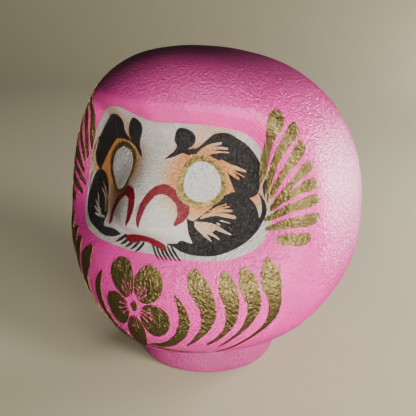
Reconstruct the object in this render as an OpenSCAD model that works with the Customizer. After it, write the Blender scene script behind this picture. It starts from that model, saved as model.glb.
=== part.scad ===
/* [Body] */
// Greatest width of the body, ear to ear
body_width = 157; // [120:1:200]
// Depth of the front half at its widest level
front_depth = 46; // [36:0.5:56]
// Depth of the rear half at its widest level
rear_depth = 93; // [70:0.5:110]
// Height of the widest level above the floor
widest_z = 74; // [68:1:80]
// Rise of the crown above the widest level
crown_rise = 90; // [75:0.5:100]
// Drop of the belly below the widest level
belly_drop = 58; // [52:0.5:60]
// Set-back of the joint plane at the widest level
joint_back = 13.8; // [6:0.1:18]
// Forward lean of the joint plane with height
joint_lean = 0.07; // [0:0.01:0.15]
// Thickness of the paper wall
wall = 2.4; // [1.6:0.1:3.5]

/* [Roundness] */
// Squareness of the body's outline above the widest level, seen from the front
crown_side_power = 2.4; // [2:0.02:3]
// Squareness of the body's outline below the widest level, seen from the front
belly_side_power = 2.34; // [2:0.02:3]
// Squareness of the front profile above the widest level
crown_front_power = 3.7; // [2.5:0.1:5]
// Squareness of the front profile below the widest level
belly_front_power = 4.4; // [2.5:0.1:5]
// Squareness of the rear profile above the widest level
crown_rear_power = 1.9; // [1.5:0.05:2.5]
// Squareness of the plan in front of the joint
front_plan_power = 1.85; // [1.8:0.05:2.4]
// Squareness of the plan behind the joint
rear_plan_power = 2.58; // [2:0.02:2.8]

/* [Face] */
// Depth of the hollow that holds the face
face_depth = 15; // [4:0.5:16]
// Share of the half width where the hollow starts to fade towards the joint
face_fade_start = 0.58; // [0.4:0.02:0.7]
// Height where the hollow starts under the hood
hood_low_z = 127; // [120:0.5:130]
// Height where the hood takes over from the hollow
hood_high_z = 144.5; // [140:0.5:150]
// Height where the hollow ends below the chin
chin_low_z = 59.5; // [55:0.5:70]
// Height where the hollow reaches its full depth above the chin
chin_high_z = 97.5; // [90:0.5:105]
// Height of the nose above the bottom of the hollow
nose_height = 14.4; // [6:0.2:16]
// Half of the nose's width at its tip
nose_half_width = 30; // [20:1:36]
// Height where the bridge of the nose starts
nose_top_z = 124.5; // [115:0.5:128]
// Height of the tip of the nose
nose_tip_z = 91; // [86:0.5:96]
// Height where the underside of the nose ends
nose_low_z = 77.5; // [74:0.5:82]

/* [Foot] */
// Diameter of the foot on the floor
foot_d = 75; // [60:1:80]
// Diameter of the foot where it meets the body
foot_top_d = 74; // [60:1:80]
// Thickness of the foot's wall
foot_wall = 3; // [2:0.5:5]
// Radius of the rounded bottom edge of the foot
foot_round = 2; // [0.5:0.5:2.5]
// Thickness of the card that closes the underside
cover_t = 1; // [0.5:0.1:2]
// Thickness of the clay weight
weight_t = 13; // [6:0.5:14]

/* [Joint strips] */
// Width of the paper strips glued over the joint
strip_w = 18; // [10:1:26]
// Thickness of the paper strips
strip_t = 0.8; // [0.4:0.1:1.5]

/* [Hidden] */

pink = [0.86, 0.42, 0.65];
paper = [0.80, 0.76, 0.68];
clay = [0.62, 0.42, 0.30];

fit_gap = 0.2;
strip_gap = 0.5;
rows_up = 26;
rows_down = 14;
front_columns = 40;
rear_columns = 30;
row_crowding = 0.75;
nose_bridge_share = 0.38;
nose_round = 2;
nose_soft = 1.25;
nose_edge = 2;
ring_steps = 72;
strip_steps = 18;
strip_columns = 2;
search_passes = 24;
round_steps = 4;
strip_low = -0.8;
strip_high = 0.8;
crown_reach = 40;
crown_strip_y = joint_lean * crown_rise - joint_back;
weight_r = foot_top_d / 2 - foot_wall - 0.5;
weight_chamfer = 3;

// Smooth step from 0 at a to 1 at b
function blend(a, b, x) = let (t = min(1, max(0, (x - a) / (b - a)))) t * t * (3 - 2 * t);

// Share of the full size left at the height fraction t, for a squareness p
function profile(t, p) = pow(max(0, 1 - pow(min(1, abs(t)), p)), 1 / p);

// Height for the fraction t: -1 is the bottom, 0 the widest level and 1 the crown
function level(t, inset) = widest_z + t * ((t > 0 ? crown_rise : belly_drop) - inset);

// Where the joint plane stands at height z
function joint_y(z) = -joint_back + joint_lean * (z - widest_z);

// Depth of the face's hollow at height z, for the share |x| / half width
function hollow(share, z) =
    face_depth * (1 - blend(face_fade_start, 1, share))
    * (1 - blend(hood_low_z, hood_high_z, z)) * blend(chin_low_z, chin_high_z, z);

// How far the nose stands out of the hollow at x, z
function nose(x, z) =
    let (
        down = (nose_top_z - z) / (nose_top_z - nose_tip_z),
        share = nose_bridge_share + (1 - nose_bridge_share) * blend(0, 1, down),
        along = z > nose_tip_z ? blend(0, 1, down) : blend(nose_low_z, nose_tip_z - nose_edge, z),
        t = min(1, abs(x) / (nose_half_width * share))
    )
    nose_height * along * pow(1 - pow(t, nose_round), nose_soft);

// A power that keeps the sign of its base
function signed_power(v, p) = sign(v) * pow(abs(v), p);

// A point of the body: u = 0 is the middle of the front, 90 the joint and 180 the middle of the back
function body_point(u, t, inset) =
    let (
        up = t > 0,
        front = abs(u) < 90.001,
        z = level(t, inset),
        q = front ? front_plan_power : rear_plan_power,
        half = (body_width / 2 - inset) * profile(t, up ? crown_side_power : belly_side_power),
        depth = front
            ? (front_depth - inset) * profile(t, up ? crown_front_power : belly_front_power)
            : (rear_depth - inset) * profile(t, up ? crown_rear_power : belly_side_power),
        share = signed_power(sin(u), 2 / q),
        x = half * share,
        y = joint_y(z) - depth * signed_power(cos(u), 2 / q)
    )
    [x, front ? y + hollow(abs(share), z) - nose(x, z) : y, z];

// Height fractions of the rows, crowded towards the bottom and the crown
function crowd(s) = s * (1 - row_crowding) + row_crowding * sin(90 * s);
row_t = [
    for (k = [rows_down - 1:-1:1]) -crowd(k / rows_down),
    for (k = [0:1:rows_up - 1]) crowd(k / rows_up)
];
row_count = len(row_t);

// One half of the hollow body, from angle u0 to u1
module half_shell(u0, u1, columns) {
    side = columns + 1;
    layer = row_count * side;
    insets = [0, wall];
    points = concat(
        [for (i = insets, t = row_t, c = [0:columns]) body_point(u0 + (u1 - u0) * c / columns, t, i)],
        [for (i = insets, t = [-1, 1]) body_point(90, t, i)]
    );
    // Numbers of the points: s is 0 outside and 1 inside, r the row and c the column
    function at(s, r, c) = s * layer + r * side + c;
    function pole(s, top) = 2 * layer + 2 * s + top;
    last = row_count - 1;
    skin = [for (s = [0, 1], r = [0:last - 1], c = [0:columns - 1]) each
        let (a = at(s, r, c), b = at(s, r, c + 1), d = at(s, r + 1, c), e = at(s, r + 1, c + 1))
        s == 0 ? [[a, d, e], [a, e, b]] : [[a, e, d], [a, b, e]]];
    caps = [for (s = [0, 1], c = [0:columns - 1]) each
        s == 0
            ? [[pole(0, 0), at(0, 0, c), at(0, 0, c + 1)], [pole(0, 1), at(0, last, c + 1), at(0, last, c)]]
            : [[pole(1, 0), at(1, 0, c + 1), at(1, 0, c)], [pole(1, 1), at(1, last, c), at(1, last, c + 1)]]];
    rim_low = [for (r = [0:last - 1]) each
        [[at(0, r, 0), at(1, r, 0), at(1, r + 1, 0)], [at(0, r, 0), at(1, r + 1, 0), at(0, r + 1, 0)]]];
    rim_high = [for (r = [0:last - 1]) each
        [[at(0, r, columns), at(1, r + 1, columns), at(1, r, columns)],
         [at(0, r, columns), at(0, r + 1, columns), at(1, r + 1, columns)]]];
    ends = [
        [pole(0, 0), pole(1, 0), at(1, 0, 0)], [pole(0, 0), at(1, 0, 0), at(0, 0, 0)],
        [pole(0, 0), at(1, 0, columns), pole(1, 0)], [pole(0, 0), at(0, 0, columns), at(1, 0, columns)],
        [pole(0, 1), at(1, last, 0), pole(1, 1)], [pole(0, 1), at(0, last, 0), at(1, last, 0)],
        [pole(0, 1), pole(1, 1), at(1, last, columns)], [pole(0, 1), at(1, last, columns), at(0, last, columns)]
    ];
    polyhedron(points, concat(skin, caps, rim_low, rim_high, ends));
}

// Whether x, y lies outside the body's plan at the height fraction t
function outside(x, y, t, inset) =
    let (
        behind = y > joint_y(level(t, inset)),
        q = behind ? rear_plan_power : front_plan_power,
        half = (body_width / 2 - inset) * profile(t, t > 0 ? crown_side_power : belly_side_power),
        depth = behind
            ? (rear_depth - inset) * profile(t, t > 0 ? crown_rear_power : belly_side_power)
            : (front_depth - inset) * profile(t, t > 0 ? crown_front_power : belly_front_power)
    )
    pow(abs(x) / half, q) + pow(abs(y - joint_y(level(t, inset))) / depth, q) > 1;

// Height of the body's surface over x, y: end is 1 for the crown and -1 for the underside
function surface_z(x, y, inset, end, low = 0, high = 0.9999, pass = 0) =
    let (mid = (low + high) / 2)
    pass == search_passes ? level(end * mid, inset)
    : outside(x, y, end * mid, inset) ? surface_z(x, y, inset, end, low, mid, pass + 1)
    : surface_z(x, y, inset, end, mid, high, pass + 1);

// A point on the joint strip's line at the fraction t, at the distance off from the joint plane
function joint_point(t, off, inset) =
    let (
        front = off < 0,
        q = front ? front_plan_power : rear_plan_power,
        half = (body_width / 2 - inset) * profile(t, t > 0 ? crown_side_power : belly_side_power),
        depth = front
            ? (front_depth - inset) * profile(t, t > 0 ? crown_front_power : belly_front_power)
            : (rear_depth - inset) * profile(t, t > 0 ? crown_rear_power : belly_side_power),
        z = level(t, inset),
        share = pow(1 - pow(abs(off) / depth, q), 1 / q)
    )
    [half * share, joint_y(z) + off + (front ? hollow(share, z) : 0), z];

// A closed sheet between two grids of points, each listed row by row
module sheet_solid(outer, inner, rows, columns) {
    side = columns + 1;
    layer = (rows + 1) * side;
    function at(s, r, c) = s * layer + r * side + c;
    function wall_faces(a, b, d, e) = [[a, b, e], [a, e, d]];
    skins = [for (r = [0:rows - 1], c = [0:columns - 1]) each concat(
        wall_faces(at(0, r, c), at(0, r + 1, c), at(0, r, c + 1), at(0, r + 1, c + 1)),
        wall_faces(at(1, r, c), at(1, r, c + 1), at(1, r + 1, c), at(1, r + 1, c + 1)))];
    ends = [for (c = [0:columns - 1]) each concat(
        wall_faces(at(0, 0, c), at(0, 0, c + 1), at(1, 0, c), at(1, 0, c + 1)),
        wall_faces(at(0, rows, c), at(1, rows, c), at(0, rows, c + 1), at(1, rows, c + 1)))];
    edges = [for (r = [0:rows - 1]) each concat(
        wall_faces(at(0, r, 0), at(1, r, 0), at(0, r + 1, 0), at(1, r + 1, 0)),
        wall_faces(at(0, r, columns), at(0, r + 1, columns), at(1, r, columns), at(1, r + 1, columns)))];
    polyhedron(concat(outer, inner), concat(skins, ends, edges));
}

// The paper strip inside the joint on the right-hand side of the frame, +X
module side_strip() {
    function grid(inset) = [for (r = [0:strip_steps], c = [0:strip_columns])
        joint_point(strip_low + (strip_high - strip_low) * r / strip_steps,
            strip_w * (c / strip_columns - 0.5), inset)];
    sheet_solid(grid(wall + strip_gap), grid(wall + strip_gap + strip_t), strip_steps, strip_columns);
}

module front_shell() color(pink) half_shell(-90, 90, front_columns);

module rear_shell() color(pink) half_shell(90, 270, rear_columns);

module seam_strip_left() color(paper) side_strip();

module seam_strip_right() color(paper) mirror([1, 0, 0]) side_strip();

// The paper strip inside the joint over the crown
module seam_strip_crown() {
    function grid(inset) = [for (r = [0:strip_steps], c = [0:strip_columns])
        let (
            x = crown_reach * (2 * r / strip_steps - 1),
            y = crown_strip_y + strip_w * (c / strip_columns - 0.5)
        )
        [x, y, surface_z(x, y, inset, 1)]];
    color(paper)
        sheet_solid(grid(wall + strip_gap + strip_t), grid(wall + strip_gap), strip_steps, strip_columns);
}

// The paper collar that the body stands on, cut on top to the body's underside
module foot_ring() {
    outer_low = foot_d / 2;
    outer_top = foot_top_d / 2;
    bore = outer_top - foot_wall;
    function rim(r, a) = [r * cos(a), r * sin(a), surface_z(r * cos(a), r * sin(a), 0, -1) - fit_gap];
    function ring_profile(a) = concat(
        [[bore * cos(a), bore * sin(a), 0]],
        [for (k = [0:round_steps]) let (
            b = 90 * k / round_steps,
            r = outer_low - foot_round * (1 - sin(b))
        ) [r * cos(a), r * sin(a), foot_round * (1 - cos(b))]],
        [rim(outer_top, a), rim(bore, a)]);
    count = round_steps + 4;
    points = [for (k = [0:ring_steps - 1]) each ring_profile(360 * k / ring_steps)];
    function at(k, i) = (k % ring_steps) * count + (i % count);
    faces = [for (k = [0:ring_steps - 1], i = [0:count - 1]) each
        [[at(k, i), at(k, i + 1), at(k + 1, i + 1)], [at(k, i), at(k + 1, i + 1), at(k + 1, i)]]];
    color(pink) polyhedron(points, faces);
}

// The clay disc that makes the doll right itself
module base_weight() color(clay)
    translate([0, 0, cover_t + fit_gap / 4])
        rotate_extrude($fn = ring_steps)
            polygon([
                [0, 0], [weight_r, 0], [weight_r, weight_t - weight_chamfer],
                [weight_r - weight_chamfer, weight_t], [0, weight_t]
            ]);

module base_cover() color(paper)
    cylinder(h = cover_t, r = foot_top_d / 2 - foot_wall - fit_gap, $fn = ring_steps);

front_shell();
rear_shell();
seam_strip_left();
seam_strip_right();
seam_strip_crown();
foot_ring();
base_weight();
base_cover();
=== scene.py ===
"""Daruma doll: the looks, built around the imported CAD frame.

Lengths are in millimetres until a mesh is made, and MM turns them into metres. The doll faces -Y.
A place on the body is (u, z): u is the angle round the body in degrees, 0 in the middle of the face,
90 at the joint on the doll's left (+X) and 180 in the middle of the back; z is the height.
"""
from math import cos, pi, radians, sin

import bpy
import numpy as np
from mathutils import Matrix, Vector
from mathutils.geometry import delaunay_2d_cdt


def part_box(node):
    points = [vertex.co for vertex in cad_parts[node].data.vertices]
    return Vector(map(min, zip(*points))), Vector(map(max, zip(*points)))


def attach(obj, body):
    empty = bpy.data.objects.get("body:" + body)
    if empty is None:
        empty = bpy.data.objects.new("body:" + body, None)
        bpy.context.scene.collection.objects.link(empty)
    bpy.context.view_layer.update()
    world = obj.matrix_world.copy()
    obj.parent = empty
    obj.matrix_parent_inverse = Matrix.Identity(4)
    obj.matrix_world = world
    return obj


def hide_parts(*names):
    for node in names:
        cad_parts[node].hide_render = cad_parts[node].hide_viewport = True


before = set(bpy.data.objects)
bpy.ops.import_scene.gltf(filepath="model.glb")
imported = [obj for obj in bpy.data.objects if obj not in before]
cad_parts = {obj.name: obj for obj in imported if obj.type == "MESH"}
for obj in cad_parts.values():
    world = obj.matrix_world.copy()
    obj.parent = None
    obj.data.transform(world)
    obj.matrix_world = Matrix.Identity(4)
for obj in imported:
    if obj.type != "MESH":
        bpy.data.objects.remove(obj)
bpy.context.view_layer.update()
MM = 0.001

# ---------------------------------------------------------------- camera
CAMERA_PLACE = (181.0, -257.7, 194.4)
CAMERA_TURN = 35.0
CAMERA_TILT = 20.15
CAMERA_LENS = 54.1


def make_camera():
    """The camera, turned about Z towards the doll and tilted down."""
    data = bpy.data.cameras.new("camera")
    data.lens = CAMERA_LENS
    data.sensor_width = 36
    data.clip_start = 0.01
    camera = bpy.data.objects.new("camera", data)
    camera.location = Vector(CAMERA_PLACE) * MM
    camera.rotation_euler = (radians(90 - CAMERA_TILT), 0, radians(CAMERA_TURN))
    bpy.context.scene.collection.objects.link(camera)
    bpy.context.scene.camera = camera


# ---------------------------------------------------------------- body shape
front_low, front_high = (np.array(corner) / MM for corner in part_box("front_shell"))
foot_low, foot_high = (np.array(corner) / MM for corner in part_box("foot_ring"))
HALF_WIDTH = front_high[0]
CROWN_Z = front_high[2]
UNDERSIDE_Z = front_low[2]
FOOT_R = foot_high[0]
FRONT_DEPTH = 46
REAR_DEPTH = 93
WIDEST_Z = 74
JOINT_BACK = 13.8
JOINT_LEAN = 0.07
WALL = 2.4

# Squareness of the outline, the front and rear profiles, and the plan
CROWN_SIDE, BELLY_SIDE = 2.4, 2.34
CROWN_FRONT, BELLY_FRONT = 3.7, 4.4
CROWN_REAR = 1.9
FRONT_PLAN, REAR_PLAN = 1.85, 2.58

# The hollow of the face and the nose in it
HOLLOW_DEPTH = 15
HOLLOW_FADE = (0.58, 1.0)
HOOD_Z = (127, 144.5)
CHIN_Z = (59.5, 97.5)
NOSE_HEIGHT = 14.4
NOSE_HALF_WIDTH = 35
NOSE_TOP_Z, NOSE_TIP_Z, NOSE_LOW_Z = 124.5, 91, 77.5
NOSE_BRIDGE = 0.38
NOSE_SOFT = 2.0
NOSE_EDGE = 2

# Unevenness of the hand-laid paper: waves of these lengths, their steepness, and how many of each
LUMP_LENGTHS = (44, 31, 22, 15, 10.5)
LUMP_STEEPNESS = 0.0008
LUMPS_EACH = 5
LUMP_SEED = 11

# Step, in degrees and mm, over which slopes of the surface are taken
FINITE_STEP = 0.05


def blend(low, high, x):
    """Smooth step from 0 at low to 1 at high."""
    t = np.clip((x - low) / (high - low), 0, 1)
    return t * t * (3 - 2 * t)


def profile(t, power):
    """Share of the full size left at the height fraction t."""
    return (1 - np.abs(t) ** power) ** (1 / power)


def signed_power(value, power):
    return np.sign(value) * np.abs(value) ** power


def nose(x, z):
    """How far the nose stands out of the hollow."""
    down = (NOSE_TOP_Z - z) / (NOSE_TOP_Z - NOSE_TIP_Z)
    half = NOSE_HALF_WIDTH * (NOSE_BRIDGE + (1 - NOSE_BRIDGE) * blend(0, 1, down))
    along = np.where(z > NOSE_TIP_Z, blend(0, 1, down), blend(NOSE_LOW_Z, NOSE_TIP_Z - NOSE_EDGE, z))
    across = np.minimum(1, np.abs(x) / half)
    return NOSE_HEIGHT * along * (1 - across**2) ** NOSE_SOFT


def moulded(u, z):
    """Points of the body as it leaves the mould."""
    u, z = np.broadcast_arrays(np.radians(u), np.asarray(z, float))
    rise = np.where(z > WIDEST_Z, CROWN_Z - WIDEST_Z, WIDEST_Z - UNDERSIDE_Z)
    t = np.clip((z - WIDEST_Z) / rise, -1, 1)
    upper, front = t > 0, np.cos(u) > -1e-9
    half = HALF_WIDTH * np.where(upper, profile(t, CROWN_SIDE), profile(t, BELLY_SIDE))
    ahead = FRONT_DEPTH * np.where(upper, profile(t, CROWN_FRONT), profile(t, BELLY_FRONT))
    behind = REAR_DEPTH * np.where(upper, profile(t, CROWN_REAR), profile(t, BELLY_SIDE))
    power = np.where(front, 2 / FRONT_PLAN, 2 / REAR_PLAN)
    share = signed_power(np.sin(u), power)
    x = half * share
    y = JOINT_LEAN * (z - WIDEST_Z) - JOINT_BACK
    y = y - np.where(front, ahead, behind) * signed_power(np.cos(u), power)
    hollow = HOLLOW_DEPTH * (1 - blend(*HOLLOW_FADE, np.abs(share)))
    hollow = hollow * (1 - blend(*HOOD_Z, z)) * blend(*CHIN_Z, z)
    y = y + np.where(front, hollow - nose(x, z), 0)
    return np.stack([x, y, z], -1)


def unit(vectors):
    return vectors / np.maximum(np.linalg.norm(vectors, axis=-1, keepdims=True), 1e-9)


def make_lump_waves():
    """Directions, phases and heights of the waves, from one fixed seed."""
    rng = np.random.default_rng(LUMP_SEED)
    lengths = np.repeat(LUMP_LENGTHS, LUMPS_EACH)
    directions = unit(rng.normal(size=(len(lengths), 3)))
    phases = rng.uniform(0, 2 * pi, len(lengths))
    return directions * (2 * pi / lengths)[:, None], phases, lengths * LUMP_STEEPNESS


LUMP_WAVES = make_lump_waves()


def lumps(points):
    """Height of the paper's unevenness at each point."""
    waves, phases, heights = LUMP_WAVES
    return np.sin(points @ waves.T + phases) @ heights


def normals_from(points_at, u, z):
    """Outward normals of the surface points_at(u, z)."""
    across = points_at(u + FINITE_STEP, z) - points_at(u - FINITE_STEP, z)
    up = points_at(u, z + FINITE_STEP) - points_at(u, z - FINITE_STEP)
    return unit(np.cross(across, up))


def skin(u, z):
    """Points of the finished paper surface."""
    points = moulded(u, z)
    return points + normals_from(moulded, u, z) * lumps(points)[..., None]


# ---------------------------------------------------------------- mesh making
def make_object(name, points, faces, normals=None, flat_from=None):
    """A mesh object from points in mm. Faces before flat_from are smooth and use the given point normals."""
    mesh = bpy.data.meshes.new(name)
    mesh.from_pydata((np.asarray(points) * MM).tolist(), [], faces)
    mesh.update()
    mesh.shade_smooth()
    if normals is not None:
        corner_points = np.empty(len(mesh.loops), np.int32)
        mesh.loops.foreach_get("vertex_index", corner_points)
        corner_normals = np.asarray(normals)[corner_points]
        if flat_from is not None:
            for face in mesh.polygons[flat_from:]:
                corner_normals[face.loop_start:face.loop_start + face.loop_total] = face.normal
        mesh.normals_split_custom_set(corner_normals.tolist())
    piece = bpy.data.objects.new(name, mesh)
    bpy.context.scene.collection.objects.link(piece)
    return piece


def finish_piece(piece, material):
    piece.data.materials.append(material)
    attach(piece, "root")
    return piece


# ---------------------------------------------------------------- shells and foot
ROW_STEP = 1.25
COLUMN_STEP = 1.35


def row_heights():
    """Heights of the rows, evenly spaced by the longest of the front, side and rear profiles.

    The trial heights crowd towards both poles, where the profiles run level.
    """
    ends = 10.0 ** np.linspace(-7, -1.3, 400)
    t = np.concatenate([-1 + ends, np.linspace(-0.94, 0.94, 800), (1 - ends)[::-1]])
    z = WIDEST_Z + t * np.where(t > 0, CROWN_Z - WIDEST_Z, WIDEST_Z - UNDERSIDE_Z)
    steps = [np.linalg.norm(np.diff(moulded(u, z), axis=0), axis=-1) for u in (0, 90, 180)]
    along = np.concatenate([[0], np.cumsum(np.max(steps, axis=0))])
    count = int(along[-1] / ROW_STEP)
    return np.interp(np.linspace(0, along[-1], count + 2)[1:-1], along, z)


def column_angles(start, end):
    """Angles of the columns from start to end, evenly spaced along the body's widest level."""
    u = np.linspace(start, end, 2000)
    steps = np.linalg.norm(np.diff(moulded(u, WIDEST_Z), axis=0), axis=-1)
    along = np.concatenate([[0], np.cumsum(steps)])
    count = 2 * round(along[-1] / COLUMN_STEP / 2)
    return np.interp(np.linspace(0, along[-1], count + 1), along, u)


def body_grid(rows, columns):
    """Points and normals of the whole body, closed round, with the lumps on it."""
    u, z = np.meshgrid(columns, rows)
    points = moulded(u, z)

    def grid_normals(grid):
        across = np.roll(grid, -1, axis=1) - np.roll(grid, 1, axis=1)
        return unit(np.cross(across, np.gradient(grid, axis=0)))

    points = points + grid_normals(points) * lumps(points)[..., None]
    return points, grid_normals(points)


def half_skin(name, points, normals):
    """One half of the hollow body as a closed sheet: an outside, an inside, the joint rims and the poles."""
    rows, columns = points.shape[:2]
    inner = points - normals * WALL
    poles = []
    for z, way in ((UNDERSIDE_Z, 1), (CROWN_Z, -1)):
        centre = np.array([0, JOINT_LEAN * (z - WIDEST_Z) - JOINT_BACK, z])
        poles += [centre, centre + [0, 0, way * WALL]]
    layer = rows * columns
    grid = np.arange(layer).reshape(rows, columns)
    low, low_in, high, high_in = range(2 * layer, 2 * layer + 4)

    def quads(a, b, c, d):
        return np.stack([a.ravel(), b.ravel(), c.ravel(), d.ravel()], -1).tolist()

    a, b, c, d = grid[:-1, :-1], grid[:-1, 1:], grid[1:, 1:], grid[1:, :-1]
    faces = quads(a, b, c, d)
    bottom, top = grid[0].tolist(), grid[-1].tolist()
    faces += [[low, bottom[k + 1], bottom[k]] for k in range(columns - 1)]
    faces += [[high, top[k], top[k + 1]] for k in range(columns - 1)]
    smooth = len(faces)
    faces += quads(d + layer, c + layer, b + layer, a + layer)
    faces += [[low_in, bottom[k] + layer, bottom[k + 1] + layer] for k in range(columns - 1)]
    faces += [[high_in, top[k + 1] + layer, top[k] + layer] for k in range(columns - 1)]
    for side, way in ((0, 1), (-1, -1)):
        rim = [low] + grid[:, side].tolist() + [high]
        rim_in = [low_in] + (grid[:, side] + layer).tolist() + [high_in]
        for k in range(rows + 1):
            faces.append([rim[k], rim[k + 1], rim_in[k + 1], rim_in[k]][::way])
    all_points = np.concatenate([points.reshape(-1, 3), inner.reshape(-1, 3), poles])
    outward = normals.reshape(-1, 3)
    ends = [(0, 0, -1), (0, 0, 1), (0, 0, 1), (0, 0, -1)]
    return make_object(name, all_points, faces, np.concatenate([outward, -outward, ends]), smooth)


def make_body(material):
    """The front and rear skins, which meet at the joint without a step."""
    rows = row_heights()
    front = column_angles(-90, 90)
    rear = column_angles(90, 270)
    points, normals = body_grid(rows, np.concatenate([front, rear[1:-1]]))
    half = len(front)
    front_piece = half_skin("front_skin", points[:, :half], normals[:, :half])
    rear_columns = np.append(np.arange(half - 1, points.shape[1]), 0)
    rear_piece = half_skin("rear_skin", points[:, rear_columns], normals[:, rear_columns])
    for piece, node in ((front_piece, "front_shell"), (rear_piece, "rear_shell")):
        finish_piece(piece, material)
        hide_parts(node)


FOOT_TOP_R = 37
FOOT_WALL = 3
FOOT_ROUND = 2.2
FOOT_COLUMNS = 240
FOOT_ROWS = 12
FOOT_GAP = 0.15
FOOT_LUMPS = 0.5
FOOT_SHARP_ANGLE = 40
HALVINGS = 40


def underside(x, y):
    """Height of the body's underside over x, y, found by halving."""
    low, high = np.full(np.shape(x), UNDERSIDE_Z + 1e-6), np.full(np.shape(x), float(WIDEST_Z))
    for _ in range(HALVINGS):
        z = (low + high) / 2
        t = (z - WIDEST_Z) / (WIDEST_Z - UNDERSIDE_Z)
        ahead = y - (JOINT_LEAN * (z - WIDEST_Z) - JOINT_BACK)
        front = ahead < 0
        power = np.where(front, FRONT_PLAN, REAR_PLAN)
        depth = np.where(front, FRONT_DEPTH * profile(t, BELLY_FRONT), REAR_DEPTH * profile(t, BELLY_SIDE))
        half = HALF_WIDTH * profile(t, BELLY_SIDE)
        outside = (np.abs(x) / half) ** power + (np.abs(ahead) / depth) ** power > 1
        low, high = np.where(outside, z, low), np.where(outside, high, z)
    return low


def make_foot(material):
    """The paper collar: a ring with a rounded bottom edge, cut on top to the body's underside."""
    angles = np.linspace(0, 2 * pi, FOOT_COLUMNS, endpoint=False)
    bend = np.radians(np.linspace(0, 90, 7))
    radii = [FOOT_TOP_R - FOOT_WALL]
    heights = [0]
    radii += list(FOOT_R - FOOT_ROUND * (1 - np.sin(bend)))
    heights += list(FOOT_ROUND * (1 - np.cos(bend)))
    shares = np.linspace(0, 1, FOOT_ROWS + 1)[1:]
    ring = []
    for radius, height in zip(radii, heights):
        ring.append([[radius * cos(a), radius * sin(a), height] for a in angles])
    for radius, order in ((FOOT_TOP_R, shares), (FOOT_TOP_R - FOOT_WALL, shares[:0:-3])):
        top = underside(radius * np.cos(angles), radius * np.sin(angles)) - FOOT_GAP
        for share in order:
            r = radius + (FOOT_R - FOOT_TOP_R) * (1 - share) if radius == FOOT_TOP_R else radius
            low = FOOT_ROUND if radius == FOOT_TOP_R else 0
            height = low + (top - low) * share
            ring.append(np.stack([r * np.cos(angles), r * np.sin(angles), height], -1).tolist())
    points = np.array(ring)
    outward = np.stack([np.cos(angles), np.sin(angles), 0 * angles], -1)
    points = points + outward * lumps(points)[..., None] * FOOT_LUMPS
    rings = len(points)
    grid = np.arange(rings * FOOT_COLUMNS).reshape(rings, FOOT_COLUMNS)
    faces = []
    for r in range(rings):
        for c in range(FOOT_COLUMNS):
            n, m = (r + 1) % rings, (c + 1) % FOOT_COLUMNS
            faces.append([int(grid[r, c]), int(grid[r, m]), int(grid[n, m]), int(grid[n, c])])
    piece = make_object("foot_collar", points.reshape(-1, 3), faces)
    piece.data.set_sharp_from_angle(angle=radians(FOOT_SHARP_ANGLE))
    finish_piece(piece, material)
    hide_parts("foot_ring")


# ---------------------------------------------------------------- outlines
ARC = 1.35
OUTLINE_STEP = 0.55
TIP_STEPS = 7
SHARP = True


def spline(knots, step, closed, sharp=()):
    """A smooth curve through the knots, with a corner at each sharp one.

    A knot is a row of numbers, of which the first two are its place in mm.
    """
    knots = np.asarray(knots, float)
    count = len(knots)
    spans = range(count if closed else count - 1)
    chords = [np.linalg.norm((knots[(k + 1) % count] - knots[k])[:2]) for k in range(count)]
    slopes_in, slopes_out = [], []
    for k in range(count):
        before = (knots[k] - knots[k - 1]) / max(chords[k - 1], 1e-6)
        after = (knots[(k + 1) % count] - knots[k]) / max(chords[k], 1e-6)
        if not closed and k == 0:
            before = after
        if not closed and k == count - 1:
            after = before
        middle = (before * chords[k] + after * chords[k - 1]) / (chords[k] + chords[k - 1])
        corner = k in sharp
        slopes_in.append(before if corner else middle)
        slopes_out.append(after if corner else middle)
    curve = []
    for k in spans:
        end = (k + 1) % count
        pieces = max(2, int(np.ceil(chords[k] / step)))
        for s in np.arange(pieces) / pieces:
            square, cube = s * s, s**3
            curve.append(
                (2 * cube - 3 * square + 1) * knots[k]
                + (cube - 2 * square + s) * chords[k] * slopes_out[k]
                + (3 * square - 2 * cube) * knots[end]
                + (cube - square) * chords[k] * slopes_in[end]
            )
    if not closed:
        curve.append(knots[-1])
    return np.array(curve)


def flat(points):
    """(u, z, ...) rows to plane mm: the first number becomes a length along the surface."""
    points = np.array(points, float)
    points[:, 0] *= ARC
    return points


def outline(points):
    """A closed outline in plane mm. A third item, SHARP, marks a corner."""
    sharp = {k for k, point in enumerate(points) if len(point) > 2}
    return spline(flat([point[:2] for point in points]), OUTLINE_STEP, True, sharp)


def stroke(points, wobble=0.035, phase=0.0):
    """The outline of one brush stroke through (u, z, half width) points, with round ends."""
    line = spline(flat(points), OUTLINE_STEP, False)
    place, half = line[:, :2], np.maximum(line[:, 2], 0.08)
    ahead = unit(np.gradient(place, axis=0))
    side = np.stack([-ahead[:, 1], ahead[:, 0]], -1)
    along = np.concatenate([[0], np.cumsum(np.linalg.norm(np.diff(place, axis=0), axis=-1))])
    shake = [
        half * (1 + wobble * (np.sin(along * 0.9 + phase + k) + np.sin(along * 2.3 + 2 * phase + 3 * k)))
        for k in (0, 2)
    ]
    turns = np.radians(np.linspace(0, 180, TIP_STEPS + 2)[1:-1])
    start = [place[0] + half[0] * (side[0] * cos(a) - ahead[0] * sin(a)) for a in turns]
    end = [place[-1] + half[-1] * (-side[-1] * cos(a) + ahead[-1] * sin(a)) for a in turns]
    left = place + side * shake[0][:, None]
    right = place - side * shake[1][:, None]
    return np.concatenate([left[::-1], start, right, end])


def oval(u, z, half_across, half_up, turn=0, count=56, flare=0.0):
    """An oval about (u, z); its half sizes are in mm and turn is in degrees."""
    a = np.linspace(0, 2 * pi, count, endpoint=False)
    x, y = half_across * np.cos(a), half_up * np.sin(a) * (1 + flare * np.cos(a))
    c, s = cos(radians(turn)), sin(radians(turn))
    return np.stack([u * ARC + x * c - y * s, z + x * s + y * c], -1)


def mirrored(loops):
    """The same outlines on the doll's right-hand side."""
    return [loop * [-1, 1] for loop in loops]


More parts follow.
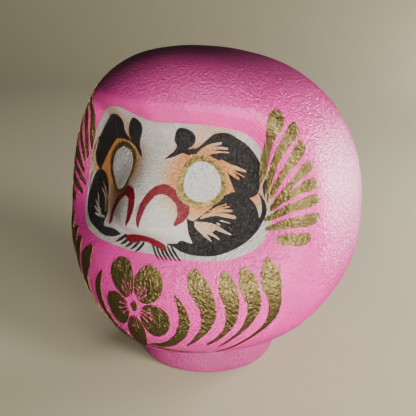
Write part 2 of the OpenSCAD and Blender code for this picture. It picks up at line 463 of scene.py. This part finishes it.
# ---------------------------------------------------------------- paint
FILL_STEP = 1.1
EDGE_CLEAR = 0.5
PAINT_SINK = 0.3


def inside(points, loops):
    """Whether each plane point lies inside any of the outlines."""
    found = np.zeros(len(points), bool)
    x, y = points[:, 0:1], points[:, 1:2]
    for loop in loops:
        x1, y1 = loop.T
        x2, y2 = np.roll(loop, -1, axis=0).T
        upward, downward = (y1 <= y) & (y2 > y), (y1 > y) & (y2 <= y)
        left = (x2 - x1) * (y - y1) - (x - x1) * (y2 - y1)
        turns = (upward & (left > 0)).sum(1) - (downward & (left < 0)).sum(1)
        found |= turns != 0
    return found


def fill_points(loops, cuts):
    """A staggered grid of points inside the outlines, clear of every edge."""
    edge = np.concatenate(loops + cuts)
    low, high = np.concatenate(loops).min(0), np.concatenate(loops).max(0)
    rows = np.arange(low[1], high[1], FILL_STEP * 0.866)
    points = []
    for k, y in enumerate(rows):
        x = np.arange(low[0] + (k % 2) * FILL_STEP / 2, high[0], FILL_STEP)
        points.append(np.stack([x, np.full(len(x), y)], -1))
    points = np.concatenate(points)
    points = points[inside(points, loops) & ~inside(points, cuts)]
    clear = [np.min(np.sum((edge - point) ** 2, axis=1)) > EDGE_CLEAR**2 for point in points]
    return points[np.array(clear, bool)] if len(points) else points.reshape(0, 2)


def paint(name, loops, material, lift, cuts=(), even=0.0):
    """A thin closed layer of paint on the skin: the outlines less the cuts, raised by lift.

    even is how much the layer evens out the shading of the skin under it.
    """
    cuts = list(cuts)
    plane, edges = [], []
    for loop in loops + cuts:
        start = len(plane)
        plane += loop.tolist()
        edges += [(start + k, start + (k + 1) % len(loop)) for k in range(len(loop))]
    plane += fill_points(loops, cuts).tolist()
    made = delaunay_2d_cdt([Vector(p) for p in plane], edges, [], 0, 1e-5, False)
    flat_points = np.array([p[:] for p in made[0]])
    triangles = np.array(made[2])
    middles = flat_points[triangles].mean(1)
    triangles = triangles[inside(middles, loops) & ~inside(middles, cuts)]
    used, index = np.unique(triangles, return_inverse=True)
    triangles = index.reshape(-1, 3)
    u, z = flat_points[used, 0] / ARC, flat_points[used, 1]
    points, normals = skin(u, z), normals_from(skin, u, z)
    count = len(used)
    sides = {}
    for a, b, c in triangles.tolist():
        for pair in ((a, b), (b, c), (c, a)):
            if pair[::-1] in sides:
                del sides[pair[::-1]]
            else:
                sides[pair] = True
    faces = triangles.tolist()
    smooth = len(faces)
    faces += (triangles[:, ::-1] + count).tolist()
    faces += [[b, a, a + count, b + count] for a, b in sides]
    all_points = np.concatenate([points + normals * lift, points - normals * PAINT_SINK])
    shading = unit(normals * (1 - even) + normals.mean(0) * even)
    piece = make_object(name, all_points, faces, np.concatenate([shading, -shading]), smooth)
    return finish_piece(piece, material)


# ---------------------------------------------------------------- face
# How far each paint stands off the skin, so that later coats cover earlier ones
PANEL_LIFT = 0.10
LINE_LIFT = 0.18
RIM_LIFT = 0.20
MOUTH_LIFT = 0.22
GOLD_LIFT = 0.28
DISC_LIFT = 0.33

PANEL = [
    (0, 133.3), (8, 133.8), (16, 134.3), (22, 134.6), (28, 134.3), (33, 133.6), (37, 132.3), (41, 130),
    (44.5, 126.5), (47, 122), (48.6, 116), (49.5, 110), (50, 104), (49.5, 99), (48.5, 93), (47.3, 89),
    (45.5, 84), (43, 81), (40, 79), (36, 77), (30, 75.5), (24, 74.8), (17, 74.2), (10, 74), (5, 73.7),
]

# The photo shows the doll's right a little different from its left. The lines named RIGHT are written
# as if for the left and mirrored when they are painted. EYE_RIGHT and NOSTRIL_RIGHT are true places.
PANEL_RIGHT = [
    (7, 134.2), (12, 136), (18, 137.8), (23, 138.3), (28, 137.3), (33, 135.5), (38, 133.5), (42, 131),
    (44.3, 128), (45.8, 122), (46.7, 115), (47, 105), (46.5, 92), (45.5, 86), (43.5, 80), (40, 76),
    (35, 73.4), (30, 72.5), (15, 72.5), (5, 72.9),
]

# Middles of the eyes; half widths and half heights in mm of the white discs and of the rims round them
EYE = (21.2, 108.5)
EYE_RIGHT = (-19, 107.6)
EYE_RIGHT_SCALE = 1.1
EYE_DISC_OVERLAP = 0.2
EYE_DISC_EVEN = 0.6
EYE_DISC = (6.5 * ARC, 8.8)
EYE_RIM = (8.95 * ARC, 11.5)

BROW = [
    (5.7, 116.7, SHARP), (7.6, 118.9), (9.4, 120.9), (10.2, 122.6), (9.1, 125.2), (9.4, 128.2),
    (11.2, 130.8), (14.2, 132), (17, 131), (18.4, 128), (17.9, 125), (16.4, 123.3), (15, 122.3, SHARP),
    (17, 122.6), (19, 123.2), (21, 124.9), (23.5, 127.5), (26.5, 129.8), (30, 130.9), (33.2, 130.7),
    (35.4, 128.7), (38.5, 126.4), (41.5, 123.3), (45, 117.7, SHARP), (44.3, 114.2), (43.3, 109.6),
    (42.4, 106.4), (41.5, 104.8), (38.4, 102.8), (36, 102.5), (33, 105.2, SHARP), (31.3, 110.5),
    (29.2, 116.8), (26.5, 118.9), (23.5, 120.3), (20.5, 120.9), (17.5, 120.2), (15.5, 119.6),
    (13, 120.1), (10.5, 118.8), (8, 117.4),
]
BROW_RIGHT = [
    (6.5, 115, SHARP), (8.5, 117.8), (10.3, 121), (10, 125), (10, 129), (10.5, 132), (12.5, 133.5),
    (15.5, 132.4), (18.2, 129.5), (19, 127), (17.8, 123.8), (15.5, 121.5, SHARP), (18.5, 123), (22, 126),
    (24, 130), (26.5, 132.3), (30, 132.2), (34, 131), (37.5, 128.5), (40.5, 122), (43, 113.5),
    (43.2, 107.5), (41.5, 103), (37.5, 100.5, SHARP), (35, 105), (32, 111), (29, 116), (26.5, 119.8, SHARP),
    (21.5, 121), (17, 120.8), (13, 119.3), (10, 117),
]
BROW_HANDS = [
    [(19.3, 120.9, 0.5), (22, 123, 0.9), (25.5, 125, 0.7), (28.8, 126.1, 0.45)],
    [(20.5, 121.2, 0.7), (24, 123.1, 0.8), (28, 123.9, 0.55), (31.1, 123.8, 0.5)],
    [(21, 121, 0.5), (25, 121.9, 0.7), (28.5, 122.2, 0.4), (31.4, 122.2, 0.3)],
    [(28.3, 117.8, 1.2), (31, 116.3, 1.3), (34, 115.6, 0.9), (37.2, 114.5, 0.5)],
    [(30, 116.3, 0.8), (33, 114.2, 0.35), (36.7, 112, 0.25)],
    [(29.6, 116.5, 1.0), (31.5, 114, 1.1), (34.5, 111.1, 0.55)],
]
BROW_PALM = [(19, 120.7), (22.5, 123.5), (25, 123.5), (25, 121.3), (22, 120.6)]

BEARD = [
    (10.7, 78.9, SHARP), (12, 79.8), (14, 80.3), (15.5, 80.9), (16.2, 82), (17, 82.3), (19, 81.7),
    (20.7, 81.2, SHARP), (20.2, 82.5), (19.4, 85), (18.8, 88), (18.2, 91), (17.8, 93.2, SHARP),
    (18.7, 92), (20, 91.3, SHARP), (22, 93.8), (24.5, 97), (26.5, 100.3), (28.5, 102.5), (30.5, 104),
    (33, 105.2), (36, 104), (38.5, 103.5), (42.3, 105.4), (44.3, 103.6), (45.6, 101.3), (46, 98.8),
    (45.5, 96), (44.3, 93), (42.8, 89.4), (40.5, 85.6), (37.5, 82.2), (34, 79.6), (30, 77.6),
    (25.5, 76.7), (21, 76.6), (17, 77.2), (13.8, 78.4),
]
BEARD_RIGHT = [
    (12.5, 77.5, SHARP), (15.5, 78.5), (20, 78.2), (24, 77.5, SHARP), (24.5, 80), (24, 83), (25.5, 87),
    (27.5, 91), (29, 96), (31.5, 100), (37.5, 101), (41.5, 98), (43.6, 93), (44, 86.5), (41.5, 80.5),
    (36, 76.8), (28, 75), (21.5, 74.4), (16.5, 75.3),
]
BEARD_RIGHT_HANDS = [
    [(25.5, 84, 0.3), (27.2, 88, 0.4), (30, 92, 0.45), (33.8, 95.6, 0.25)],
    [(26.3, 83.5, 0.3), (29.5, 89.5, 0.5), (34, 92.3, 0.35)],
    [(32.5, 84.5, 0.3), (34.5, 87, 0.55), (36.3, 88.8, 0.3)],
    [(29.5, 82.6, 0.4), (33, 84, 0.6), (36.6, 85.5, 0.3)],
    [(28.5, 81.5, 0.5), (32, 82.2, 0.6), (35.6, 82.8, 0.3)],
    [(25.5, 81.2, 0.6), (29, 80.6, 0.6), (33, 80.4, 0.3)],
]
BEARD_CRESCENT = [
    (38.6, 102.7, SHARP), (40.8, 99.8), (41.9, 97), (42.5, 94, SHARP), (43.5, 97), (43.6, 100.5),
    (42.9, 103.8), (42.2, 105.3, SHARP), (40.3, 104),
]
BEARD_HANDS = [
    [(25, 96.4, 0.25), (27.5, 98, 0.3), (29.8, 99.2, 0.3)],
    [(24, 95.4, 0.3), (27.5, 97, 0.4), (30.8, 98.2, 0.35)],
    [(22.5, 93.5, 0.5), (27, 95.7, 0.7), (31.7, 96.4, 0.6)],
    [(22, 92.6, 0.4), (26, 94, 0.5), (30, 94, 0.9), (33, 93.6, 0.75)],
    [(28.2, 91.6, 0.35), (31.5, 91, 0.15)],
    [(27.3, 90.3, 0.45), (28.2, 89.8, 0.4)],
    [(20.5, 90.7, 0.3), (24, 89.5, 1.2), (28, 88.2, 0.9), (33, 86.3, 0.2)],
    [(21, 89.5, 0.8), (24.5, 86.8, 0.8), (27, 85.3, 0.5), (29.3, 84, 0.3)],
    [(21.3, 88.7, 0.6), (24, 85.5, 0.7), (26.8, 82.9, 0.2)],
]
BEARD_PALM = [(20.2, 91), (22.5, 90.6), (26.5, 89), (27, 87.5), (25, 86), (22.5, 87.2), (21, 89)]

# Thin hairs at the panel's edge: tufts on the doll's left, fine lines on its right
TUFTS = [
    [(46.3, 111.8, 0.5), (45.2, 108.5, 1.1), (45.1, 104.2, 0.2)],
    [(46.5, 111, 0.5), (46.9, 107, 0.6), (46.4, 101.8, 0.2)],
]
EDGE_LINES_RIGHT = [
    [(41.5, 118.5, 0.15), (44.2, 114, 0.3), (45.2, 109, 0.3), (45.1, 103.5, 0.15)],
    [(44.2, 98, 0.3), (45.2, 94.5, 0.35), (45.3, 90, 0.15)],
]

NOSTRIL_LEFT = [
    (3.2, 88.3, 0.4), (2.7, 92, 1.5), (3.0, 96, 1.8), (4.4, 100.5, 2.0), (6.3, 103.6, 2.0),
    (8.8, 104.7, 2.0), (11.3, 103.4, 1.7), (14, 101.3, 1.9), (16, 98.2, 2.3), (16.6, 95, 2.2),
    (16.2, 92.3, 1.8), (15.2, 90.2, 0.9),
]
NOSTRIL_RIGHT = [
    (-3.4, 87.5, 0.5), (-2.8, 91.5, 1.6), (-2.9, 96, 2.3), (-4.6, 100.2, 2.3), (-8.4, 101, 2.1),
    (-12, 98.3, 2.1), (-15, 94, 2.2), (-17.3, 89, 2.1), (-19.3, 84.5, 1.8), (-20.5, 80.5, 1.0),
]
MOUTH = [
    (-9, 77.4, 1.0), (-6.5, 77.6, 1.9), (-3, 79, 1.9), (1, 79.9, 1.9), (5, 79.5, 2.1), (8, 78.3, 1.6),
    (10, 77.5, 1.3),
]

# Whiskers on each side: how many, root and tip of the first, step outwards in degrees, greatest half width
WHISKERS_LEFT = (6, (5.4, 77.2), (9.8, 72.4), 1.5, 0.5)
WHISKERS_RIGHT = (5, (-0.5, 77), (2.2, 73.2), 2.6, 0.8)
WHISKER_RISE = 0.25
WHISKER_SPREAD = 1.1
WHISKER_SAG = (0.2, 0.1)


def whiskers(count, root, tip, step, width):
    """Hairs beside the mouth, counted outwards, each a little higher than the last."""
    hairs = []
    for k in range(count):
        start = (root[0] + step * k, root[1] + WHISKER_RISE * k, 0.9 * width)
        end = (tip[0] + step * WHISKER_SPREAD * k, tip[1] + WHISKER_RISE * k, 0.45 * width)
        sag_u, sag_z = WHISKER_SAG
        middle = ((start[0] + end[0]) / 2 - sag_u, (start[1] + end[1]) / 2 - sag_z, width)
        hairs.append(stroke([start, middle, end], phase=k))
    return hairs


def make_face(white, eye_white, black, red, gold):
    """The white panel and everything painted on it."""
    panel = outline(PANEL + [(-u, z) for u, z in PANEL_RIGHT[::-1]])
    paint("face_panel", [panel], white, PANEL_LIFT)
    hands = [stroke(points) for points in BROW_HANDS] + [outline(BROW_PALM)]
    paint("brow_left", [outline(BROW)], black, LINE_LIFT, hands)
    paint("brow_right", mirrored([outline(BROW_RIGHT)]), black, LINE_LIFT)
    hands = [stroke(points) for points in BEARD_HANDS] + [outline(BEARD_PALM), outline(BEARD_CRESCENT)]
    paint("beard_left", [outline(BEARD)], black, LINE_LIFT, hands)
    hands = mirrored([stroke(points) for points in BEARD_RIGHT_HANDS])
    paint("beard_right", mirrored([outline(BEARD_RIGHT)]), black, LINE_LIFT, hands)
    paint("tufts_left", [stroke(points) for points in TUFTS], black, LINE_LIFT)
    lines = mirrored([stroke(points) for points in EDGE_LINES_RIGHT])
    paint("edge_lines_right", lines, black, LINE_LIFT)
    paint("whiskers_left", whiskers(*WHISKERS_LEFT), black, LINE_LIFT)
    paint("whiskers_right", mirrored(whiskers(*WHISKERS_RIGHT)), black, LINE_LIFT)
    paint("nostril_line_left", [stroke(NOSTRIL_LEFT)], red, LINE_LIFT)
    paint("nostril_line_right", [stroke(NOSTRIL_RIGHT)], red, LINE_LIFT)
    paint("mouth_line", [stroke(MOUTH)], red, MOUTH_LIFT)
    for side, place, scale in (("left", EYE, 1), ("right", EYE_RIGHT, EYE_RIGHT_SCALE)):
        across, up = EYE_DISC[0] * scale, EYE_DISC[1] * scale
        disc = oval(*place, across, up)
        wide_disc = oval(*place, across + EYE_DISC_OVERLAP, up + EYE_DISC_OVERLAP)
        rim = oval(*place, EYE_RIM[0] * scale, EYE_RIM[1] * scale)
        paint("eye_rim_" + side, [rim], gold, RIM_LIFT, [disc])
        paint("eye_white_" + side, [wide_disc], eye_white, DISC_LIFT, even=EYE_DISC_EVEN)


# ---------------------------------------------------------------- gold strokes
FAN = [
    [(43.8, 111, 0.9), (45, 115, 2.1), (47, 120, 2.6), (49.5, 125, 2.3), (53, 129.5, 2.2),
     (58, 134.5, 3), (62.6, 137.5, 3.5), (66.2, 139.6, 2.8)],
    [(46.5, 107, 1.2), (48.5, 112, 1.9), (51, 117, 1.9), (54.5, 122, 2.1), (59, 126.2, 2.1),
     (64, 129.8, 2.3), (69, 132.8, 2.7), (72.8, 134.4, 2.3)],
    [(48.3, 104.8, 0.9), (51, 109, 1.6), (54.5, 113.2, 1.7), (58.5, 117, 1.8), (63, 120.8, 2.2),
     (68, 124.5, 2.9), (72.3, 127.2, 2.6)],
    [(48.5, 99.5, 1.2), (52, 103, 1.9), (56, 107, 2.1), (60, 110.8, 1.5), (65, 114.8, 1.6),
     (70, 117.6, 2.2), (74, 119.3, 2.0)],
    [(55, 104.5, 1.5), (60, 107, 1.5), (65, 109.2, 1.7), (70, 110.9, 2.4), (75, 111.5, 2.3)],
    [(45.5, 94.2, 0.8), (50, 96.6, 1.5), (55, 99.5, 1.8), (60, 101.6, 1.9), (65, 103, 2.1),
     (70, 104.2, 2.4), (75, 104.7, 2.2)],
    [(46.8, 90.5, 1.0), (51, 92, 1.5), (56, 93.9, 2.1), (61, 95, 2.3), (66, 95.8, 2.5),
     (71, 96.4, 2.7), (75, 97.1, 1.9)],
    [(53.5, 87, 1.8), (57, 87.2, 2.4), (62, 87.6, 2.6), (66, 87.8, 2.9), (69.5, 88.4, 2.1)],
]
BELLY = [
    [(24.3, 69, 2.6), (26.5, 65, 4.6), (29.5, 60, 4.8), (31.8, 55, 4.1), (32.9, 50, 3.8),
     (33, 45, 2.9), (32, 40, 2.0), (30.3, 35.5, 1.2), (28.5, 31.5, 0.4)],
    [(35, 70.3, 1.8), (37, 66, 4.0), (39.3, 61, 4.1), (40.8, 56, 3.6), (41.6, 51, 3.0),
     (41.8, 46, 2.4), (40.8, 41, 1.5), (39.2, 37, 1.2), (37.3, 34, 0.7)],
    [(41.8, 72, 2.4), (43.5, 69.5, 3.9), (46.2, 65, 4.2), (48.5, 60, 3.6), (49.3, 55, 3.2),
     (49, 50, 2.5), (48.2, 45, 1.6), (46.3, 40, 1.0), (44.2, 35, 0.7), (43, 32.3, 0.3)],
    [(50.2, 76.5, 2.4), (51.5, 73.5, 4.6), (53.8, 69, 5.3), (56.2, 63, 4.0), (57.7, 57, 3.4),
     (58.1, 51, 2.7), (56.6, 45, 1.5), (54.3, 40, 1.0), (51.5, 35, 0.9), (48.5, 30, 0.7), (46, 27.3, 0.5)],
]

# On the doll's right the gold sits further out: its shift in u and z, and its stretch in z about STRETCH_Z
RIGHT_FAN = (3, 0.5, 1.2)
RIGHT_BELLY = (4, -4, 1)
STRETCH_Z = 115

BASE_LINE = [(-28, 26.2, 0.15), (-14, 25.9, 0.45), (8, 25.6, 0.6), (28, 26, 0.45), (46, 26.8, 0.2)]

# The blossom on the belly: a generic five-petalled flower held by two curling leaves
BLOSSOM = (0.5, 47.5)
PETALS = 5
PETAL_OUT = 15.2
PETAL_SIZE = (9.8, 8.5)
PETAL_FLARE = 0.1
HEART_R = 2.6

# The stamens cut into each petal: their reach from the heart, spread in degrees, rings of (reach, half
# width) on the way out, and the radius of the tip
STAMEN_REACH = (11.8, 13.5, 11.8)
STAMEN_SPREAD = 13
STAMEN_RINGS = [(4.2, 0.45), (8, 0.3)]
STAMEN_HALF_WIDTH = 0.3
STAMEN_TIP_R = 0.75
LEAF = [
    (19, 58.5, 0.4), (21.6, 53.5, 1.7), (23.6, 48, 2.7), (24.3, 42, 3.2), (23.2, 36, 3.1),
    (20, 31.3, 2.4), (15.5, 28.6, 1.5), (9.5, 27.6, 0.5),
]


def make_blossom(gold):
    """The petals and the heart, less the stamens, and a leaf on either side."""
    u, z = BLOSSOM
    loops, cuts = [], []
    for k in range(PETALS):
        turn = -90 + 360 / PETALS * k
        across, up = cos(radians(turn)), sin(radians(turn))
        place = (u + PETAL_OUT * across / ARC, z + PETAL_OUT * up)
        loops.append(oval(*place, *PETAL_SIZE, turn, flare=PETAL_FLARE))
        for s, reach in enumerate(STAMEN_REACH):
            lean = radians(turn + STAMEN_SPREAD * (s - 1))
            rings = STAMEN_RINGS + [(reach, STAMEN_HALF_WIDTH)]
            ray = [(u + r * cos(lean) / ARC, z + r * sin(lean), half) for r, half in rings]
            cuts.append(stroke(ray))
            cuts.append(oval(*ray[-1][:2], STAMEN_TIP_R, STAMEN_TIP_R, count=14))
    loops.append(oval(u, z, HEART_R, HEART_R))
    paint("belly_blossom", loops, gold, GOLD_LIFT, cuts)
    leaf = [stroke(LEAF)]
    paint("belly_leaf_left", leaf, gold, GOLD_LIFT)
    paint("belly_leaf_right", mirrored(leaf), gold, GOLD_LIFT)


def make_strokes(name, lines, right, gold):
    """Gold strokes on the doll's left and, changed by right, on its right."""
    out, up, stretch = right
    loops, right_loops = [], []
    for k, points in enumerate(lines):
        moved = [(u + out, up + STRETCH_Z + (z - STRETCH_Z) * stretch, half) for u, z, half in points]
        loops.append(stroke(points, phase=k))
        right_loops.append(stroke(moved, phase=k))
    paint(name + "_left", loops, gold, GOLD_LIFT)
    paint(name + "_right", mirrored(right_loops), gold, GOLD_LIFT)


def make_gold(gold):
    make_strokes("gold_fan", FAN, RIGHT_FAN, gold)
    make_strokes("belly_strokes", BELLY, RIGHT_BELLY, gold)
    paint("base_line", [stroke(BASE_LINE)], gold, GOLD_LIFT)
    make_blossom(gold)


# ---------------------------------------------------------------- materials
class Nodes:
    """A new material and short ways to add and join its nodes."""

    def __init__(self, name):
        self.material = bpy.data.materials.new(name)
        self.material.use_nodes = True
        self.tree = self.material.node_tree
        self.tree.nodes.clear()
        self.shader = self.add("ShaderNodeBsdfPrincipled")
        output = self.add("ShaderNodeOutputMaterial")
        self.tree.links.new(self.shader.outputs[0], output.inputs[0])
        self.place = self.add("ShaderNodeTexCoord").outputs["Object"]

    def add(self, kind, inputs=(), **settings):
        """A node with its settings, and its inputs as (name or number, value or output) pairs."""
        made = self.tree.nodes.new(kind)
        for key, value in settings.items():
            setattr(made, key, value)
        for socket, value in inputs:
            if isinstance(value, bpy.types.NodeSocket):
                self.tree.links.new(value, made.inputs[socket])
            else:
                made.inputs[socket].default_value = value
        return made

    def maths(self, operation, *values):
        return self.add("ShaderNodeMath", list(enumerate(values)), operation=operation).outputs[0]

    def noise(self, scale, detail=2.0, roughness=0.5, distortion=0.0):
        return self.add("ShaderNodeTexNoise", [
            ("Vector", self.place), ("Scale", scale), ("Detail", detail),
            ("Roughness", roughness), ("Distortion", distortion),
        ]).outputs[0]

    def ramp(self, value, low, high, start=0.0, end=1.0):
        return self.add("ShaderNodeMapRange", [
            (0, value), (1, low), (2, high), (3, start), (4, end),
        ], interpolation_type="SMOOTHSTEP").outputs[0]

    def mix(self, share, first, second):
        made = self.add("ShaderNodeMix", [(0, share), (6, first), (7, second)], data_type="RGBA")
        return made.outputs[2]

    def set(self, **values):
        """Inputs of the shader, named with _ for a space."""
        for key, value in values.items():
            socket = self.shader.inputs[key.replace("_", " ")]
            if isinstance(value, bpy.types.NodeSocket):
                self.tree.links.new(value, socket)
            else:
                socket.default_value = value


def creases(nodes, scale):
    """Sharp little folds: the zero lines of a noise, as valleys from 0 to 1."""
    value = nodes.noise(scale, 2.0, 0.55, 0.8)
    return nodes.maths("MULTIPLY", nodes.maths("ABSOLUTE", nodes.maths("SUBTRACT", value, 0.5)), 3.0)


def crinkle(nodes, depth, fine=1.0):
    """The bump of crinkled tissue paper under paint; depth is in mm."""
    folds = nodes.maths("MULTIPLY", creases(nodes, 430.0), 0.6)
    grain = nodes.maths("MULTIPLY", nodes.noise(800.0, 2.0, 0.55, 0.4), 1.1 * fine)
    height = nodes.maths("ADD", folds, grain)
    bump = nodes.add("ShaderNodeBump", [("Strength", 1.0), ("Distance", depth * MM), ("Height", height)])
    return bump.outputs[0]


def rgba(red, green, blue):
    return (red, green, blue, 1.0)


def pink_lacquer():
    """Pink, with painted shade: darkened on the top of the head and towards the foot, standing in for the
    shade that falls there.
    """
    nodes = Nodes("pink_lacquer")
    cloudy = nodes.noise(45.0, 3.0, 0.6)
    colour = nodes.mix(nodes.ramp(cloudy, 0.35, 0.65), rgba(0.86, 0.046, 0.385), rgba(0.81, 0.040, 0.345))
    height = nodes.add("ShaderNodeSeparateXYZ", [(0, nodes.place)]).outputs[2]
    # Painted shade: by height, the top of the head and the parts towards the foot are mixed toward a dull
    # deep purple.
    painted_shade_top = nodes.ramp(height, 138 * MM, 156 * MM, 0.0, 0.7)
    painted_shade_low = nodes.ramp(height, 18 * MM, 44 * MM, 0.65, 0.0)
    colour = nodes.mix(nodes.maths("MAXIMUM", painted_shade_top, painted_shade_low), colour, rgba(0.38, 0.06, 0.19))
    bump = crinkle(nodes, 0.55)
    nodes.set(Base_Color=colour, Roughness=0.38, Normal=bump, Coat_Weight=0.6, Coat_Roughness=0.15)
    nodes.set(Coat_Normal=bump)
    return nodes.material


# The orange flush on the white: centre (u, z), where it starts to fade and where it ends in mm, strength
FLUSHES = [
    (*EYE, 12, 25, 1.0),
    (33, 105, 7, 20, 1.0),
    (26, 127, 6, 17, 0.45),
    (43, 108, 4, 18, 0.6),
    (25, 90, 3, 15, 0.6),
]


def white_paint():
    """White, with the orange flush sprayed round the eyes, alike on both sides, and fading outwards."""
    nodes = Nodes("white_paint")
    parts = nodes.add("ShaderNodeSeparateXYZ", [(0, nodes.place)]).outputs
    side = nodes.maths("ABSOLUTE", parts[0])
    folded = nodes.add("ShaderNodeCombineXYZ", [(0, side), (1, parts[1]), (2, parts[2])]).outputs[0]
    amount = 0.0
    for u, z, near, far, strength in FLUSHES:
        centre = tuple(skin(u, z) * MM)
        away = nodes.add("ShaderNodeVectorMath", [(0, folded), (1, centre)], operation="DISTANCE")
        share = nodes.ramp(away.outputs["Value"], near * MM, far * MM, strength, 0.0)
        amount = nodes.maths("MAXIMUM", amount, share)
    grain = nodes.ramp(nodes.noise(700.0, 3.0, 0.6), 0.3, 0.7, 0.86, 1.0)
    white = nodes.mix(nodes.noise(60.0), rgba(0.51, 0.49, 0.46), rgba(0.47, 0.45, 0.42))
    colour = nodes.mix(nodes.maths("MULTIPLY", amount, grain), white, rgba(0.52, 0.20, 0.030))
    nodes.set(Base_Color=colour, Roughness=0.5, Normal=crinkle(nodes, 0.75))
    return nodes.material


def eye_paint():
    nodes = Nodes("eye_paint")
    nodes.set(Base_Color=rgba(0.48, 0.47, 0.46), Roughness=0.5, Normal=crinkle(nodes, 0.65))
    return nodes.material


def black_paint():
    nodes = Nodes("black_paint")
    colour = nodes.mix(nodes.noise(300.0), rgba(0.012, 0.012, 0.012), rgba(0.022, 0.021, 0.020))
    nodes.set(Base_Color=colour, Roughness=0.44, Normal=crinkle(nodes, 1.1))
    return nodes.material


def red_paint():
    nodes = Nodes("red_paint")
    colour = nodes.mix(nodes.noise(180.0, 3.0), rgba(0.19, 0.003, 0.015), rgba(0.14, 0.002, 0.010))
    nodes.set(Base_Color=colour, Roughness=0.42, Normal=crinkle(nodes, 0.6))
    return nodes.material


def gold_paint():
    nodes = Nodes("gold_paint")
    colour = nodes.mix(nodes.noise(220.0, 3.0), rgba(0.48, 0.37, 0.145), rgba(0.40, 0.29, 0.105))
    nodes.set(Base_Color=colour, Metallic=0.93, Roughness=0.3, Normal=crinkle(nodes, 0.62))
    return nodes.material


def bare_paper():
    nodes = Nodes("bare_paper")
    colour = nodes.mix(nodes.noise(220.0, 6.0, 0.7), rgba(0.58, 0.52, 0.40), rgba(0.44, 0.38, 0.28))
    nodes.set(Base_Color=colour, Roughness=0.85, Normal=crinkle(nodes, 0.12, 2.0))
    return nodes.material


def clay():
    nodes = Nodes("clay")
    colour = nodes.mix(nodes.noise(120.0, 6.0, 0.7), rgba(0.36, 0.21, 0.12), rgba(0.24, 0.13, 0.075))
    nodes.set(Base_Color=colour, Roughness=0.9, Normal=crinkle(nodes, 0.2, 3.0))
    return nodes.material


def dress_cad_nodes(paper, dried_clay):
    """The carried-over CAD nodes keep their shapes and get their own finishes."""
    finishes = {
        "seam_strip_left": paper, "seam_strip_right": paper, "seam_strip_crown": paper,
        "base_cover": paper, "base_weight": dried_clay,
    }
    for name, material in finishes.items():
        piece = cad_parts[name]
        piece.data.materials.clear()
        piece.data.materials.append(material)


# ---------------------------------------------------------------- stage and light
STAGE_HALF = 2600
STAGE_BACK = 900
STAGE_BEND = 700
STAGE_TOP = 2400
STAGE_FRONT = -1500
STAGE_BEND_ROWS = 25


def make_stage():
    """A pale sheet: the floor, a bend and the wall behind, square to the camera.

    The gloss and the gold don't reflect it, because what they reflect in the photo is darker.
    """
    turn = radians(CAMERA_TURN)
    bend = np.radians(np.linspace(0, 90, STAGE_BEND_ROWS))
    line = [(STAGE_FRONT, 0), (0, 0)]
    line += [(STAGE_BACK + STAGE_BEND * sin(a), STAGE_BEND * (1 - cos(a))) for a in bend]
    line += [(STAGE_BACK + STAGE_BEND, STAGE_TOP)]
    points = []
    for back, z in line:
        for side in (-STAGE_HALF, STAGE_HALF):
            points.append((side * cos(turn) - back * sin(turn), side * sin(turn) + back * cos(turn), z))
    faces = [[2 * k, 2 * k + 1, 2 * k + 3, 2 * k + 2] for k in range(len(line) - 1)]
    stage = make_object("stage", points, faces)
    nodes = Nodes("stage")
    nodes.set(Base_Color=rgba(0.22, 0.20, 0.13), Roughness=0.9)
    stage.data.materials.append(nodes.material)
    stage.visible_glossy = False
    return stage


# Soft boxes round the doll: azimuth from its front towards +X, distance along the floor, height,
# width, power in W, and where each one shows: all, in all but the gloss (matt), in gloss, or on the stage
WARM_WHITE = (1.0, 0.955, 0.90)
LIGHTS = {
    "key": (52, 400, 80, 220, 0.375, "matt"),
    "side": (85, 420, 80, 240, 0.03, "matt"),
    "fill": (38, 400, 85, 200, 0.1, "matt"),
    "rim": (143, 540, 80, 220, 5.4, "all"),
    "glint": (20, 700, 280, 340, 2.4, "gloss"),
    "sheen": (50, 600, 220, 600, 2.4, "gloss"),
    "wall": (165, 1500, 300, 600, 50.0, "stage"),
    "floor": (90, 1100, 350, 400, 46.0, "stage"),
    "front": (60, 800, 350, 400, 10.0, "stage"),
}
MATT_SPREAD = 60
MATT_AIM_Z = 108
AIM_Z = 80
WORLD = (0.028, 0.026, 0.023)


def make_lights(stage):
    """The soft boxes, all aimed at the doll, and a dim world."""
    only_stage = bpy.data.collections.new("stage_only")
    only_stage.objects.link(stage)
    for name, (azimuth, reach, height, width, power, shows) in LIGHTS.items():
        data = bpy.data.lights.new(name, "AREA")
        data.shape = "DISK"
        data.size = width * MM
        data.energy, data.color = power, WARM_WHITE
        turn = radians(azimuth)
        place = Vector((reach * sin(turn), -reach * cos(turn), height))
        lamp = bpy.data.objects.new(name, data)
        aim = Vector((0, 0, MATT_AIM_Z if shows == "matt" else AIM_Z))
        if shows == "matt":
            data.spread = radians(MATT_SPREAD)
        lamp.location = place * MM
        lamp.rotation_euler = (aim - place).to_track_quat("-Z", "Y").to_euler()
        bpy.context.scene.collection.objects.link(lamp)
        lamp.visible_diffuse = shows != "gloss"
        lamp.visible_glossy = shows != "matt"
        if shows == "stage":
            lamp.light_linking.receiver_collection = only_stage
    world = bpy.data.worlds.new("world")
    world.use_nodes = True
    world.node_tree.nodes["Background"].inputs[0].default_value = rgba(*WORLD)
    bpy.context.scene.world = world


make_camera()
make_lights(make_stage())
lacquer = pink_lacquer()
gold_leaf = gold_paint()
make_body(lacquer)
make_foot(lacquer)
make_face(white_paint(), eye_paint(), black_paint(), red_paint(), gold_leaf)
make_gold(gold_leaf)
dress_cad_nodes(bare_paper(), clay())
